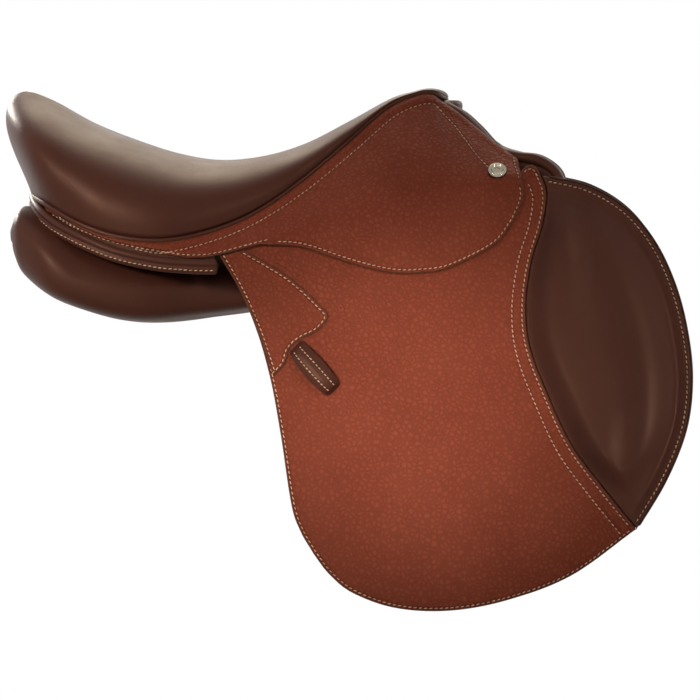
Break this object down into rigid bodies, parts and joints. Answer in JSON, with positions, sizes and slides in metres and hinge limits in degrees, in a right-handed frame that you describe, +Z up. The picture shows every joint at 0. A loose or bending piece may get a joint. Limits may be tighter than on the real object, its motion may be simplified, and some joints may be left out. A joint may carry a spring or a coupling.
{
  "type": "jumping saddle",
  "caption": "Close contact jumping saddle: sprung tree, padded seat, lifting skirts and flaps with knee pads, stuffed panels, stirrup bars and girth straps.",
  "frame": {"origin": "the bearing point on the horse's back: midway between the panels, at the height where they bear", "axes": "+X forward to the pommel, +Y to the left of the rider, +Z up"},
  "size_m": [0.5891, 0.381, 0.4286],
  "materials": {
    "calf_leather": "smooth dark brown calf leather with a broad soft sheen",
    "grain_leather": "red-brown grained leather, low sheen, cream saddle stitching along the edges",
    "strap_leather": "brown bridle leather with waxed faces",
    "tree_wood": "bare laminated beech",
    "forged_steel": "forged steel, satin",
    "nickel": "polished nickel plate",
    "webbing": "undyed woven webbing",
    "seat_padding": "closed cell foam"
  },
  "bodies": {
    "saddle": {"seat_cover": "calf_leather", "seat_piping": "calf_leather", "pommel_facing": "calf_leather", "gullet_lining": "calf_leather", "cantle_facing": "calf_leather", "panel_right": "calf_leather", "panel_left": "calf_leather", "sweat_flap_right": "calf_leather", "sweat_flap_left": "calf_leather", "knee_block_right": "calf_leather", "knee_block_left": "calf_leather", "buckle_guard_right": "calf_leather", "buckle_guard_left": "calf_leather", "skirt_right": "grain_leather", "skirt_left": "grain_leather", "tree_frame": "tree_wood", "tree_head": "tree_wood", "gullet_plate": "forged_steel", "tree_springs": "forged_steel", "stirrup_bar_right": "forged_steel", "stirrup_bar_left": "forged_steel", "bar_rivets": "forged_steel", "catch_pins": "forged_steel", "skirt_nails": "nickel", "seat_webs": "webbing", "girth_web_right": "webbing", "girth_web_left": "webbing", "seat_foam": "seat_padding"},
    "flap_right": {"flap_right": "grain_leather", "flap_lining_right": "calf_leather", "knee_pad_right": "calf_leather", "flap_patch_right": "grain_leather", "keeper_right": "calf_leather"},
    "flap_left": {"flap_left": "grain_leather", "flap_lining_left": "calf_leather", "knee_pad_left": "calf_leather", "flap_patch_left": "grain_leather", "keeper_left": "calf_leather"},
    "skirt_belly_right": {"skirt_belly_right": "grain_leather"},
    "skirt_belly_left": {"skirt_belly_left": "grain_leather"},
    "bar_catch_right": {"bar_catch_right": "forged_steel"},
    "bar_catch_left": {"bar_catch_left": "forged_steel"},
    "billet_right_front": {"billet_right_front": "strap_leather"},
    "billet_right_middle": {"billet_right_middle": "strap_leather"},
    "billet_right_rear": {"billet_right_rear": "strap_leather"},
    "billet_left_front": {"billet_left_front": "strap_leather"},
    "billet_left_middle": {"billet_left_middle": "strap_leather"},
    "billet_left_rear": {"billet_left_rear": "strap_leather"}
  },
  "joints": [
    {"name": "flap_lift_right", "type": "hinge", "parent": "saddle", "child": "flap_right", "pos_m": [-0.098, -0.14, 0.052], "axis": [-0.958, -0.1591, -0.2386], "range_deg": [0, 75]},
    {"name": "skirt_lift_right", "type": "hinge", "parent": "flap_right", "child": "skirt_belly_right", "pos_m": [-0.098, -0.14, 0.052], "axis": [-0.958, -0.1591, -0.2386], "range_deg": [0, 65]},
    {"name": "catch_turn_right", "type": "hinge", "parent": "saddle", "child": "bar_catch_right", "pos_m": [0.05071, -0.10876, 0.07004], "axis": [-0.1638, 0.9865, 0], "range_deg": [0, 40]},
    {"name": "billet_swing_right_front", "type": "hinge", "parent": "saddle", "child": "billet_right_front", "pos_m": [0.084, -0.10171, 0.04133], "axis": [-0.0575, 0.9675, -0.2463], "range_deg": [-5, 5]},
    {"name": "billet_swing_right_middle", "type": "hinge", "parent": "saddle", "child": "billet_right_middle", "pos_m": [0.048, -0.11412, 0.03236], "axis": [-0.0626, 0.9712, -0.2298], "range_deg": [-5, 5]},
    {"name": "billet_swing_right_rear", "type": "hinge", "parent": "saddle", "child": "billet_right_rear", "pos_m": [0.012, -0.11133, 0.0234], "axis": [-0.0677, 0.9747, -0.213], "range_deg": [-5, 5]},
    {"name": "flap_lift_left", "type": "hinge", "parent": "saddle", "child": "flap_left", "pos_m": [-0.098, 0.14, 0.052], "axis": [0.958, -0.1591, 0.2386], "range_deg": [0, 75]},
    {"name": "skirt_lift_left", "type": "hinge", "parent": "flap_left", "child": "skirt_belly_left", "pos_m": [-0.098, 0.14, 0.052], "axis": [0.958, -0.1591, 0.2386], "range_deg": [0, 65]},
    {"name": "catch_turn_left", "type": "hinge", "parent": "saddle", "child": "bar_catch_left", "pos_m": [0.05071, 0.10876, 0.07004], "axis": [0.1638, 0.9865, 0], "range_deg": [0, 40]},
    {"name": "billet_swing_left_front", "type": "hinge", "parent": "saddle", "child": "billet_left_front", "pos_m": [0.084, 0.10171, 0.04133], "axis": [0.0575, 0.9675, 0.2463], "range_deg": [-5, 5]},
    {"name": "billet_swing_left_middle", "type": "hinge", "parent": "saddle", "child": "billet_left_middle", "pos_m": [0.048, 0.11412, 0.03236], "axis": [0.0626, 0.9712, 0.2298], "range_deg": [-5, 5]},
    {"name": "billet_swing_left_rear", "type": "hinge", "parent": "saddle", "child": "billet_left_rear", "pos_m": [0.012, 0.11133, 0.0234], "axis": [0.0677, 0.9747, 0.213], "range_deg": [-5, 5]}
  ]
}
